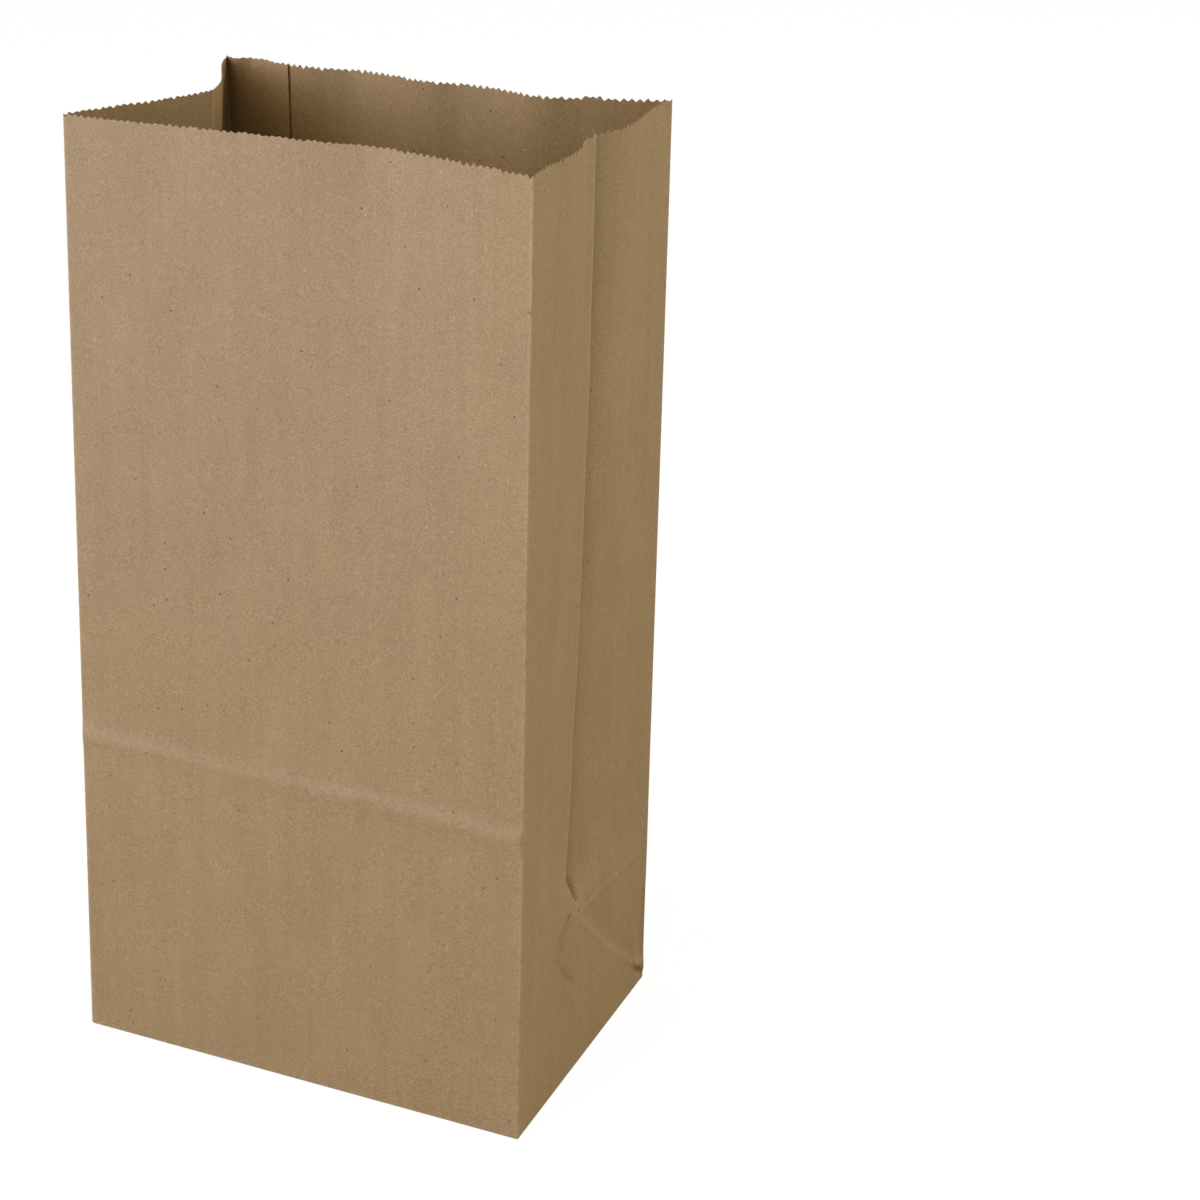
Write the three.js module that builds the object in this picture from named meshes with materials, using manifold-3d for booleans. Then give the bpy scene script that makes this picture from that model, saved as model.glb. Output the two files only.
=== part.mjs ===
// A flat-bottomed lunch bag of brown kraft paper, opened out and standing on its base.
// One sheet is folded and glued into a gusseted tube, closed below by a block bottom and cut
// across the top with a toothed knife. Millimetres, +Z up, the front panel faces -Y, and the
// origin is the centre of the base on the surface that the bag stands on.

import * as THREE from "three";
import Module from "manifold-3d";

// The sheet and its folds
const WIDTH = 127;
const DEPTH = 86;
const HEIGHT = 247.65;
const PAPER = 0.1;
const CORNER_FOLD_RADIUS = 0.9;
const BASE_FOLD_RADIUS = 0.7;

// The mouth: how far each corner has moved from straight above its corner of the base
const FRONT_LEFT_SHIFT_X = 3.4;
const FRONT_LEFT_SHIFT_Y = 8.0;
const FRONT_RIGHT_SHIFT_X = 1.8;
const FRONT_RIGHT_SHIFT_Y = -1.4;
const BACK_RIGHT_SHIFT_X = 1.0;
const BACK_RIGHT_SHIFT_Y = -1.8;
const BACK_LEFT_SHIFT_X = 3.0;
const BACK_LEFT_SHIFT_Y = -0.4;

// How far the centre crease of each gusset stands in from the line between its corners
const RIGHT_CREASE_IN_TOP = 2.4;
const RIGHT_CREASE_IN_LOW = 6.7;
const RIGHT_CREASE_IN_APEX = 2.3;
const LEFT_CREASE_IN_TOP = 18.4;
const LEFT_CREASE_IN_LOW = 9.0;
const LEFT_CREASE_IN_APEX = 7.4;
const CREASE_KINK_RISE = 7.5;

// The wave of each panel at the mouth: [share of the width from the left, depth into the bag]
const FRONT_WAVE = [
  [0, 0], [0.13, 0.9], [0.25, 2.5], [0.36, 3.8], [0.48, 5.1], [0.58, 6.2],
  [0.68, 6.9], [0.79, 5.6], [0.88, 3.5], [0.95, 1.4], [1, 0],
];
const BACK_WAVE = [
  [0, 0], [0.12, 1.4], [0.25, 2.2], [0.37, 3.0], [0.49, 5.0], [0.62, 6.6],
  [0.75, 9.0], [0.85, 7.4], [0.94, 3.8], [1, 0],
];
const WAVE_FADE = 1.6;

// The wave of each half gusset at the mouth: [share of the half from its corner, depth into the bag]
const RIGHT_NEAR_WAVE = [[0, 0], [0.3, 0.6], [0.65, -1.0], [0.85, -0.8], [1, 0]];
const RIGHT_FAR_WAVE = [[0, 0], [0.17, -0.7], [0.28, -0.2], [0.42, -1.9], [0.65, -2.6], [1, 0]];
const LEFT_NEAR_WAVE = [[0, 0], [0.3, 0.4], [0.6, 1.4], [0.85, 1.0], [1, 0]];
const LEFT_FAR_WAVE = [[0, 0], [0.25, -0.5], [0.62, 1.2], [0.85, 0.9], [1, 0]];

// The teeth of the cut edge
const TOOTH_PITCH = 1.84;
const TOOTH_DEPTH = 0.9;
const RIM_BAND = 6;

// The pressed line across the front, left where the folded base lay against the panel
const PRESS_LINE_HEIGHT = 86.4;
const PRESS_LINE_BAND = 4;
const PRESS_LINE_PROUD = 0.3;

// The glued seam down the back panel: the ply from the left ends here inside the other ply,
// which laps over it on the outside towards the left
const SEAM_FROM_LEFT = 20.3;
const SEAM_LAP = 12;
const SEAM_EASE = 7;
const PLY_EDGE = 0.1;

// The flaps of the block bottom reach past the middle of the base by this much
const BASE_FLAP_LAP = 12;

// How finely the sheet is divided
const PANEL_CELLS = 26;
const HALF_GUSSET_CELLS = 6;
const FOLD_STEPS = 3;
const UPPER_ROW_GAP = 25;
const ROW_GAP_LEAST = 0.8;

const HALF_GUSSET = DEPTH / 2;
const FLAP_LENGTH = HALF_GUSSET + BASE_FLAP_LAP;
const ARC_MIDDLE = 1 - Math.SQRT1_2;

const KRAFT = new THREE.MeshStandardMaterial({ color: "#ab9170", roughness: 0.9, metalness: 0 });

// A smooth curve through a few chosen points, read at x.
function wave(points, x) {
  const last = points.length - 1;
  const i = Math.max(0, Math.min(last - 1, points.findIndex((p) => p[0] > x) - 1));
  const at = x >= points[last][0] ? last - 1 : i;
  const slope = (k) => {
    const a = points[Math.max(0, k - 1)];
    const b = points[Math.min(last, k + 1)];
    return (b[1] - a[1]) / (b[0] - a[0]);
  };
  const [x0, y0] = points[at];
  const [x1, y1] = points[at + 1];
  const span = x1 - x0;
  const t = (x - x0) / span;
  const rise = (1 - t) * (1 - t) * t * span * slope(at) - t * t * (1 - t) * span * slope(at + 1);
  return y0 + (y1 - y0) * t * t * (3 - 2 * t) + rise;
}

// The four corners in plan at a height, going round from the front left, seen from above.
function corners(z) {
  const share = z / HEIGHT;
  const place = (x, y, dx, dy) => new THREE.Vector2(x + dx * share, y + dy * share);
  return [
    place(-WIDTH / 2, -DEPTH / 2, FRONT_LEFT_SHIFT_X, FRONT_LEFT_SHIFT_Y),
    place(WIDTH / 2, -DEPTH / 2, FRONT_RIGHT_SHIFT_X, FRONT_RIGHT_SHIFT_Y),
    place(WIDTH / 2, DEPTH / 2, BACK_RIGHT_SHIFT_X, BACK_RIGHT_SHIFT_Y),
    place(-WIDTH / 2, DEPTH / 2, BACK_LEFT_SHIFT_X, BACK_LEFT_SHIFT_Y),
  ];
}

// How much of the mouth's wave is left at a height: none at the top of the base triangles.
function waveShare(z) {
  return Math.pow(THREE.MathUtils.clamp((z - HALF_GUSSET) / (HEIGHT - HALF_GUSSET), 0, 1), WAVE_FADE);
}

// The pressed line stands a little proud of the front panel.
function pressLine(z) {
  const off = Math.abs(z - PRESS_LINE_HEIGHT) / (PRESS_LINE_BAND / 2);
  return off < 1 ? PRESS_LINE_PROUD * (1 - off) : 0;
}

// How far a gusset's centre crease stands in at a height above the tip of the base triangle.
function creaseIn(z, inApex, inLow, inTop) {
  const kink = HALF_GUSSET + CREASE_KINK_RISE;
  if (z <= kink) return THREE.MathUtils.mapLinear(z, HALF_GUSSET, kink, inApex, inLow);
  return THREE.MathUtils.mapLinear(z, kink, HEIGHT, inLow, inTop);
}

// How far a gusset stands in, at a distance from its nearest corner and a height. Below its
// tip the base triangle lies between two slanting folds, which run to the corners of the base.
function gussetIn(fromCorner, z, inApex, inLow, inTop, curve) {
  const along = Math.max(0, (fromCorner - CORNER_FOLD_RADIUS) / (HALF_GUSSET - CORNER_FOLD_RADIUS));
  const up = Math.max(0, (z - BASE_FOLD_RADIUS) / (HALF_GUSSET - BASE_FOLD_RADIUS));
  if (up <= 1) return inApex * Math.min(along, up);
  return creaseIn(z, inApex, inLow, inTop) * along + wave(curve, along) * waveShare(z);
}

// The outer face in plan: side 0 is the front, 1 the right gusset, 2 the back, 3 the left gusset.
function facePoint(side, s, z) {
  const at = corners(z);
  const from = at[side];
  const to = at[(side + 1) % 4];
  const length = side % 2 ? DEPTH : WIDTH;
  const p = from.clone().lerp(to, s / length);
  const near = Math.min(s, length - s);
  if (side === 0) p.y += wave(FRONT_WAVE, s / WIDTH) * waveShare(z) - pressLine(z);
  if (side === 2) p.y -= wave(BACK_WAVE, 1 - s / WIDTH) * waveShare(z);
  if (side === 1) {
    const curve = s < HALF_GUSSET ? RIGHT_NEAR_WAVE : RIGHT_FAR_WAVE;
    p.x -= gussetIn(near, z, RIGHT_CREASE_IN_APEX, RIGHT_CREASE_IN_LOW, RIGHT_CREASE_IN_TOP, curve);
  }
  if (side === 3) {
    const curve = s < HALF_GUSSET ? LEFT_FAR_WAVE : LEFT_NEAR_WAVE;
    p.x += gussetIn(near, z, LEFT_CREASE_IN_APEX, LEFT_CREASE_IN_LOW, LEFT_CREASE_IN_TOP, curve);
  }
  return p;
}

// A column of the sheet: a side and a distance along it, or the middle of a corner's fold.
function columnPoint(column, z) {
  if (!column.corner) return facePoint(column.side, column.s, z);
  const before = (column.side + 3) % 4;
  const lengthBefore = before % 2 ? DEPTH : WIDTH;
  const corner = corners(z)[column.side];
  const a = facePoint(before, lengthBefore - CORNER_FOLD_RADIUS, z).sub(corner);
  const b = facePoint(column.side, CORNER_FOLD_RADIUS, z).sub(corner);
  return corner.add(a.add(b).multiplyScalar(ARC_MIDDLE));
}

// Where the knife cut a column, measured across the tube as it lay flat.
function flatPlace(column) {
  if (column.side === 0) return column.s;
  if (column.side === 2) return WIDTH - column.s;
  const near = Math.min(column.s, DEPTH - column.s);
  return column.side === 1 ? WIDTH - near : near;
}

// The columns round the bag, with the corner folds and what one side is divided at.
function columnsRound(dividedAt) {
  const columns = [];
  let start = 0;
  for (let side = 0; side < 4; side += 1) {
    const length = side % 2 ? DEPTH : WIDTH;
    const ends = [CORNER_FOLD_RADIUS, length - CORNER_FOLD_RADIUS];
    const inner = dividedAt(side, length).filter((s) => s > ends[0] + PLY_EDGE && s < ends[1] - PLY_EDGE);
    columns.push({ side, s: 0, corner: true, round: start });
    for (const s of [ends[0], ...inner, ends[1]]) columns.push({ side, s, corner: false, round: start + s });
    start += length;
  }
  return columns;
}

// The columns of the walls: even cells on the panels, and the seam's two edges on the back.
function wallDivisions(side, length) {
  const cells = side % 2 ? 2 * HALF_GUSSET_CELLS : PANEL_CELLS;
  const half = HALF_GUSSET - CORNER_FOLD_RADIUS;
  const places = [];
  for (let k = 1; k < cells; k += 1) {
    places.push(side % 2 ? CORNER_FOLD_RADIUS + (half * k) / HALF_GUSSET_CELLS : (length * k) / cells);
  }
  if (side !== 2) return places;
  const inside = length - SEAM_FROM_LEFT;
  const outside = inside + SEAM_LAP;
  const edges = [inside - PLY_EDGE / 2, inside + PLY_EDGE / 2, outside - PLY_EDGE / 2, outside + PLY_EDGE / 2];
  const clear = places.filter((s) => edges.every((e) => Math.abs(s - e) > 1));
  return [...clear, ...edges].sort((a, b) => a - b);
}

// The columns of the cut edge: a tip and a valley for every tooth of the knife.
function toothDivisions(side, length) {
  const places = [];
  const halfPitch = TOOTH_PITCH / 2;
  for (let k = 0; k * halfPitch <= WIDTH; k += 1) {
    const flat = k * halfPitch;
    if (side === 0) places.push(flat);
    if (side === 2) places.push(WIDTH - flat);
    const near = side === 1 ? WIDTH - flat : flat;
    if (side % 2 && near < HALF_GUSSET - PLY_EDGE) places.push(near, length - near);
  }
  if (side % 2) places.push(HALF_GUSSET);
  return places.sort((a, b) => a - b);
}

// How far below the tips the cut edge lies at a column.
function toothDrop(column) {
  const share = flatPlace(column) / TOOTH_PITCH;
  return TOOTH_DEPTH * (1 - Math.abs(2 * (share - Math.floor(share)) - 1));
}

// How far the outer and the inner face stand in from the sheet's outer face. Past the seam's
// lap the single ply is the one from inside, and it eases out to the panel again.
function plies(column) {
  if (column.side !== 2 || column.corner) return { outer: 0, inner: PAPER };
  const past = column.s - (WIDTH - SEAM_FROM_LEFT);
  if (past < 0) return { outer: 0, inner: PAPER };
  if (past < SEAM_LAP) return { outer: 0, inner: 2 * PAPER };
  const ease = THREE.MathUtils.smoothstep(past - SEAM_LAP, 0, SEAM_EASE);
  return { outer: PAPER * (1 - ease), inner: PAPER * (2 - ease) };
}

// A closed outline moved in by a distance at each point, with mitred corners.
function insetLoop(points, distances) {
  const n = points.length;
  return points.map((p, i) => {
    const a = p.clone().sub(points[(i + n - 1) % n]).normalize();
    const b = points[(i + 1) % n].clone().sub(p).normalize();
    const normal = new THREE.Vector2(-a.y - b.y, a.x + b.x).normalize();
    const mitre = Math.max(0.5, normal.dot(new THREE.Vector2(-a.y, a.x)));
    return p.clone().addScaledVector(normal, distances[i] / mitre);
  });
}

// Heights of the rows above the base fold.
function rowHeights() {
  const base = BASE_FOLD_RADIUS + 2 * PAPER;
  const band = PRESS_LINE_BAND / 2;
  const low = PRESS_LINE_HEIGHT + band;
  const high = HEIGHT - RIM_BAND;
  const heights = [HALF_GUSSET + CREASE_KINK_RISE, PRESS_LINE_HEIGHT - band, PRESS_LINE_HEIGHT, low, high];
  for (let k = 1; k <= HALF_GUSSET_CELLS; k += 1) {
    heights.push(BASE_FOLD_RADIUS + ((HALF_GUSSET - BASE_FOLD_RADIUS) * k) / HALF_GUSSET_CELLS);
  }
  const rows = Math.max(1, Math.round((high - low) / UPPER_ROW_GAP));
  for (let k = 1; k < rows; k += 1) heights.push(low + ((high - low) * k) / rows);
  const rising = heights.filter((z) => z > base && z <= high).sort((a, b) => a - b);
  return rising.filter((z, i) => i === 0 || z - rising[i - 1] > ROW_GAP_LEAST);
}

// One row of points on the outer and the inner face.
function sheetRow(columns, z, outerIn, innerIn, outerZ, innerZ) {
  const outline = columns.map((c) => columnPoint(c, z));
  const ply = columns.map(plies);
  const lift = (loop, height) => loop.map((p, i) => new THREE.Vector3(p.x, p.y, height(columns[i])));
  return {
    columns,
    outer: lift(insetLoop(outline, ply.map((d) => d.outer + outerIn)), outerZ),
    inner: lift(insetLoop(outline, ply.map((d) => d.inner - PAPER + innerIn)), innerZ),
  };
}

// The walls' rows from the base fold to the cut edge.
function wallRows() {
  const columns = columnsRound(wallDivisions);
  const floor = (c) => (c.side % 2 && !c.corner ? 2 * PAPER : PAPER);
  const rows = [];
  for (let k = 0; k <= FOLD_STEPS; k += 1) {
    const turn = (Math.PI / 2) * (1 - k / FOLD_STEPS);
    const outerRadius = BASE_FOLD_RADIUS;
    const innerRadius = BASE_FOLD_RADIUS - PAPER;
    rows.push(sheetRow(
      columns,
      0,
      outerRadius * (1 - Math.cos(turn)),
      outerRadius - innerRadius * Math.cos(turn),
      (c) => floor(c) + outerRadius * (1 - Math.sin(turn)),
      (c) => floor(c) + outerRadius - innerRadius * Math.sin(turn),
    ));
  }
  for (const z of rowHeights()) rows.push(sheetRow(columns, z, 0, PAPER, () => z, () => z));
  const edge = columnsRound(toothDivisions);
  const cut = (c) => HEIGHT - toothDrop(c);
  rows.push(sheetRow(edge, HEIGHT, 0, PAPER, cut, cut));
  return rows;
}

// A triangle list and the points that it uses.
class Surface {
  constructor() {
    this.points = [];
    this.triangles = [];
  }

  addLoop(points) {
    const first = this.points.length;
    this.points.push(...points);
    return points.map((_, i) => first + i);
  }

  add(a, b, c, flipped) {
    this.triangles.push(flipped ? [a, c, b] : [a, b, c]);
  }

  // Joins two loops of the same columns. A cell is split along the fold that crosses it.
  joinEven(lower, upper, columns, flipped) {
    const n = lower.length;
    for (let i = 0; i < n; i += 1) {
      const j = (i + 1) % n;
      const length = columns[i].side % 2 ? DEPTH : WIDTH;
      const rising = columns[i].s < length / 2 - PLY_EDGE;
      if (rising) {
        this.add(lower[i], lower[j], upper[j], flipped);
        this.add(lower[i], upper[j], upper[i], flipped);
      } else {
        this.add(lower[i], lower[j], upper[i], flipped);
        this.add(lower[j], upper[j], upper[i], flipped);
      }
    }
  }

  // Joins two loops that are divided differently, taking the next point round of either.
  joinUneven(lower, lowerColumns, upper, upperColumns, flipped) {
    const full = 2 * (WIDTH + DEPTH);
    const roundOf = (columns, i) => (i < columns.length ? columns[i].round : full);
    let i = 0;
    let j = 0;
    while (i < lower.length || j < upper.length) {
      const a = lower[i % lower.length];
      const b = upper[j % upper.length];
      const lowerFirst = roundOf(lowerColumns, i + 1) < roundOf(upperColumns, j + 1);
      if (i < lower.length && (lowerFirst || j >= upper.length)) {
        i += 1;
        this.add(a, lower[i % lower.length], b, flipped);
      } else {
        j += 1;
        this.add(a, upper[j % upper.length], b, flipped);
      }
    }
  }

  geometry() {
    const geometry = new THREE.BufferGeometry();
    const flat = this.points.flatMap((p) => [p.x, p.y, p.z]);
    geometry.setAttribute("position", new THREE.Float32BufferAttribute(flat, 3));
    geometry.setIndex(this.triangles.flat());
    return geometry;
  }
}

// The gusseted tube as one closed wall of paper, open at both ends.
function tubeGeometry() {
  const surface = new Surface();
  const rows = wallRows();
  const loops = rows.map((row) => ({
    columns: row.columns,
    outer: surface.addLoop(row.outer),
    inner: surface.addLoop(row.inner),
  }));
  for (let k = 0; k + 2 < loops.length; k += 1) {
    surface.joinEven(loops[k].outer, loops[k + 1].outer, loops[k].columns, false);
    surface.joinEven(loops[k].inner, loops[k + 1].inner, loops[k].columns, true);
  }
  const last = loops[loops.length - 2];
  const edge = loops[loops.length - 1];
  surface.joinUneven(last.outer, last.columns, edge.outer, edge.columns, false);
  surface.joinUneven(last.inner, last.columns, edge.inner, edge.columns, true);
  surface.joinEven(edge.outer, edge.inner, edge.columns, false);
  surface.joinEven(loops[0].inner, loops[0].outer, loops[0].columns, false);
  return surface.geometry();
}

// A flat layer of the base with this outline, from one height to another.
function layerGeometry(outline, low, high) {
  const shape = new THREE.Shape(outline.map(([x, y]) => new THREE.Vector2(x, y)));
  const geometry = new THREE.ExtrudeGeometry(shape, { depth: high - low, bevelEnabled: false });
  return geometry.translate(0, 0, low);
}

// A flap folded in from the front or back edge of the base. Its ends slant at 45 degrees,
// and it stops past the middle, or where the slanting ends meet.
function flapOutline(sign, from, to) {
  const edge = BASE_FOLD_RADIUS - PAPER;
  const halfAt = (y) => Math.max(0, WIDTH / 2 - (y + HALF_GUSSET));
  const end = Math.min(to, WIDTH / 2 - HALF_GUSSET);
  const start = Math.max(from, edge - HALF_GUSSET);
  const wide = Math.min(halfAt(start), WIDTH / 2 - edge);
  const outline = [[-wide, sign * start], [wide, sign * start], [halfAt(end), sign * end]];
  if (halfAt(end) > PLY_EDGE) outline.push([-halfAt(end), sign * end]);
  return outline;
}

// The layers of the block bottom, from the ground up.
function baseLayers() {
  const edge = BASE_FOLD_RADIUS - PAPER;
  const x = WIDTH / 2 - edge;
  const y = DEPTH / 2 - edge;
  const rectangle = (x0, x1) => [[x0, -y], [x1, -y], [x1, y], [x0, y]];
  const reach = WIDTH / 2 - FLAP_LENGTH;
  return [
    layerGeometry(flapOutline(-1, -BASE_FLAP_LAP, BASE_FLAP_LAP), 0, PAPER),
    layerGeometry(flapOutline(1, -HALF_GUSSET, BASE_FLAP_LAP), PAPER, 2 * PAPER),
    layerGeometry(flapOutline(-1, -HALF_GUSSET, BASE_FLAP_LAP), PAPER, 2 * PAPER),
    layerGeometry(rectangle(-x, x), 2 * PAPER, 3 * PAPER),
    layerGeometry(rectangle(reach, x), 3 * PAPER, 4 * PAPER),
    layerGeometry(rectangle(-x, -reach), 3 * PAPER, 4 * PAPER),
  ];
}

// Turns a geometry into a solid, with the points that its faces share merged.
function solidOf(wasm, geometry) {
  const position = geometry.getAttribute("position");
  const seen = new Map();
  const points = [];
  const merged = [];
  for (let i = 0; i < position.count; i += 1) {
    const p = [position.getX(i), position.getY(i), position.getZ(i)];
    const key = p.map((v) => Math.round(v * 1e4)).join(",");
    if (!seen.has(key)) {
      seen.set(key, points.length / 3);
      points.push(...p);
    }
    merged.push(seen.get(key));
  }
  const index = geometry.index ? Array.from(geometry.index.array) : merged.map((_, i) => i);
  const triVerts = Uint32Array.from(index.map((i) => merged[i]));
  return new wasm.Manifold(new wasm.Mesh({ numProp: 3, vertProperties: Float32Array.from(points), triVerts }));
}

// A solid's triangles with the broad ones first.
function broadFirst(mesh) {
  const corner = (i) => new THREE.Vector3().fromArray(mesh.vertProperties, 3 * i);
  const triangles = [];
  for (let k = 0; k < mesh.triVerts.length; k += 3) {
    const indices = Array.from(mesh.triVerts.subarray(k, k + 3));
    triangles.push({ indices, area: new THREE.Triangle(...indices.map(corner)).getArea() });
  }
  return triangles.sort((a, b) => b.area - a.area).flatMap((t) => t.indices);
}

// The folded sheet: walls and base joined into one solid.
async function bagGeometry() {
  const wasm = await Module();
  wasm.setup();
  let solid = solidOf(wasm, tubeGeometry());
  for (const layer of baseLayers()) solid = solid.add(solidOf(wasm, layer));
  const mesh = solid.getMesh();
  const geometry = new THREE.BufferGeometry();
  geometry.setAttribute("position", new THREE.Float32BufferAttribute(mesh.vertProperties, 3));
  geometry.setIndex(broadFirst(mesh));
  geometry.computeVertexNormals();
  return geometry;
}

const bag = new THREE.Mesh(await bagGeometry(), KRAFT);
bag.name = "paper_bag";

const group = new THREE.Group();
group.add(bag);

export default group;
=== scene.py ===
"""A brown kraft paper lunch bag, opened out and standing on its block bottom."""

import logging
import math
from dataclasses import dataclass
from enum import IntEnum
from typing import Any

import bpy
import numpy as np
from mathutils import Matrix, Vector


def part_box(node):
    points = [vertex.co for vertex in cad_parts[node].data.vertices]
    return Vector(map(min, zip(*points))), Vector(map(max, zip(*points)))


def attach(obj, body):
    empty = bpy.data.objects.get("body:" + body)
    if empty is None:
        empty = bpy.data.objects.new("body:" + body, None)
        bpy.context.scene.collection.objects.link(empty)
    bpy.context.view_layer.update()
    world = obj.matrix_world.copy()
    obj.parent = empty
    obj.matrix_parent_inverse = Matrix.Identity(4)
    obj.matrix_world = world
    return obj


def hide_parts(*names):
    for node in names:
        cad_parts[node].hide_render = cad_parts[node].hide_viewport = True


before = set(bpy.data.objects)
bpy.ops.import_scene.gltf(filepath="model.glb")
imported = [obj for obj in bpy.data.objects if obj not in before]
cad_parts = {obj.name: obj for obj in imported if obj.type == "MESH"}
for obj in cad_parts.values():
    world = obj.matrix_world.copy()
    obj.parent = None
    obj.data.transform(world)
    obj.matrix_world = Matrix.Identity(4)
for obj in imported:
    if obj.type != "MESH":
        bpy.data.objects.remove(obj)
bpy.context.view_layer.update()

MM = 0.001
LIP_FLANK = 0.6
SMOOTH_ANGLE = math.radians(40)
CORNER_SIGNS = ((-1, -1), (1, -1), (1, 1), (-1, 1))
LOG = logging.getLogger("lunch_bag")
Points = list[tuple[float, float]]
Colour = tuple[float, float, float, float]


class Side(IntEnum):
    """The four sides of the tube, going round from the front as seen from above."""

    FRONT = 0
    RIGHT = 1
    BACK = 2
    LEFT = 3


def smooth(x: np.ndarray) -> np.ndarray:
    """A smooth step from 0 to 1 while x goes from 0 to 1."""
    t = np.clip(x, 0.0, 1.0)
    return t * t * (3.0 - 2.0 * t)


def wave(points: Points, x: np.ndarray) -> np.ndarray:
    """A smooth curve through a few chosen points.

    Args:
        points: Places and heights that the curve passes through, in rising order.
        x: Where the curve is read.

    Returns:
        The curve's height at each x.
    """
    px = np.array([p[0] for p in points])
    py = np.array([p[1] for p in points])
    slope = np.empty_like(py)
    slope[1:-1] = (py[2:] - py[:-2]) / (px[2:] - px[:-2])
    slope[0] = (py[1] - py[0]) / (px[1] - px[0])
    slope[-1] = (py[-1] - py[-2]) / (px[-1] - px[-2])
    i = np.clip(np.searchsorted(px, x, side="right") - 1, 0, len(px) - 2)
    span = px[i + 1] - px[i]
    t = np.clip((x - px[i]) / span, 0.0, 1.0)
    bend = (1 - t) ** 2 * t * slope[i] - t**2 * (1 - t) * slope[i + 1]
    return py[i] + (py[i + 1] - py[i]) * smooth(t) + bend * span


def creases(x: np.ndarray, y: np.ndarray, line: Points, width: float, height: float) -> np.ndarray:
    """A low ridge along a line of straight runs, fading out at both its ends.

    Args:
        x: First coordinate on the sheet, in millimetres.
        y: Second coordinate on the sheet, in millimetres.
        line: The points that the ridge passes through.
        width: Half the ridge's width.
        height: Its height, negative for a furrow.

    Returns:
        The height added at each point.
    """
    nearest = np.full(np.broadcast(x, y).shape, np.inf)
    for (x0, y0), (x1, y1) in zip(line, line[1:]):
        run = (x1 - x0) ** 2 + (y1 - y0) ** 2
        share = np.clip(((x - x0) * (x1 - x0) + (y - y0) * (y1 - y0)) / run, 0.0, 1.0)
        off = (x - x0 - share * (x1 - x0)) ** 2 + (y - y0 - share * (y1 - y0)) ** 2
        nearest = np.minimum(nearest, off)
    return height * np.exp(-nearest / width**2)


def lip(x: np.ndarray, y: np.ndarray, line: Points, reach: float, height: float) -> np.ndarray:
    """A low step along a line, sharp on its left and falling off gently to its right.

    Args:
        x: First coordinate on the sheet, in millimetres.
        y: Second coordinate on the sheet, in millimetres.
        line: The points that the step passes through.
        reach: How far the raised side goes before it is level again.
        height: The step's height.

    Returns:
        The height added at each point.
    """
    nearest = np.full(np.broadcast(x, y).shape, np.inf)
    side = np.zeros_like(nearest)
    for (x0, y0), (x1, y1) in zip(line, line[1:]):
        dx, dy = x1 - x0, y1 - y0
        share = np.clip(((x - x0) * dx + (y - y0) * dy) / (dx * dx + dy * dy), 0.0, 1.0)
        off = np.hypot(x - x0 - share * dx, y - y0 - share * dy)
        closer = off < nearest
        side = np.where(closer, np.sign(dy * (x - x0) - dx * (y - y0)), side)
        nearest = np.minimum(nearest, off)
    raised = np.where(side > 0, np.exp(-nearest / reach), 1 - smooth(nearest / LIP_FLANK))
    return height * raised


def outward(turn: float, rise: float) -> Vector:
    """The way out from the bag to a camera or a lamp.

    Args:
        turn: How far round from the front it stands, in degrees, to the right.
        rise: How high it stands, in degrees.

    Returns:
        A vector one metre long.
    """
    a, e = math.radians(turn), math.radians(rise)
    return Vector((math.sin(a) * math.cos(e), -math.cos(a) * math.cos(e), math.sin(e)))


def stand(name: str, data: Any, at: Vector, way: Vector) -> bpy.types.Object:
    """Stands a camera or a lamp in the scene.

    Args:
        name: Its name.
        data: The camera or the light itself.
        at: Its place in metres.
        way: The way out from the bag, against which it looks.

    Returns:
        The new object.
    """
    thing = bpy.data.objects.new(name, data)
    bpy.context.scene.collection.objects.link(thing)
    thing.location = at
    thing.rotation_euler = (-way).to_track_quat("-Z", "Y").to_euler()
    return thing


@dataclass
class SheetSizes:
    """The sheet's sizes in millimetres, with its height from the frame.

    The last two are in thicknesses of the paper.
    """

    height: float
    width: float = 127.0
    depth: float = 86.0
    paper: float = 0.11
    fold_radius: float = 0.45
    base_fold_radius: float = 0.7
    tooth_pitch: float = 1.84
    tooth_depth: float = 0.95
    seam_from_left: float = 20.3
    seam_lap: float = 12.0
    seam_ease: float = 7.0
    seam_lift: float = 0.45
    seam_curl: float = 2.6
    flap_lap: float = 12.0
    lap_run: float = 2.0
    lap_slope: float = 1.5
    layer_rise: float = 1.2
    seam_under: float = 1.25

    @property
    def layer(self) -> float:
        """One thickness of the paper with the little air that lies over it."""
        return self.layer_rise * self.paper

    @property
    def girth(self) -> float:
        """The way all round the tube."""
        return 2.0 * (self.width + self.depth)

    @property
    def half_gusset(self) -> float:
        """From a corner to the gusset's centre crease."""
        return self.depth / 2.0

    @property
    def flap_length(self) -> float:
        """From the base fold to the free edge of a base flap."""
        return self.half_gusset + self.flap_lap

    @property
    def inner_edge(self) -> float:
        """Where the sheet starts on the inside of the seam, measured round from the front left."""
        return 2 * self.width + self.depth - self.seam_from_left - self.girth

    @property
    def outer_edge(self) -> float:
        """Where the sheet ends on the outside of the seam."""
        return self.inner_edge + self.girth + self.seam_lap


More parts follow.
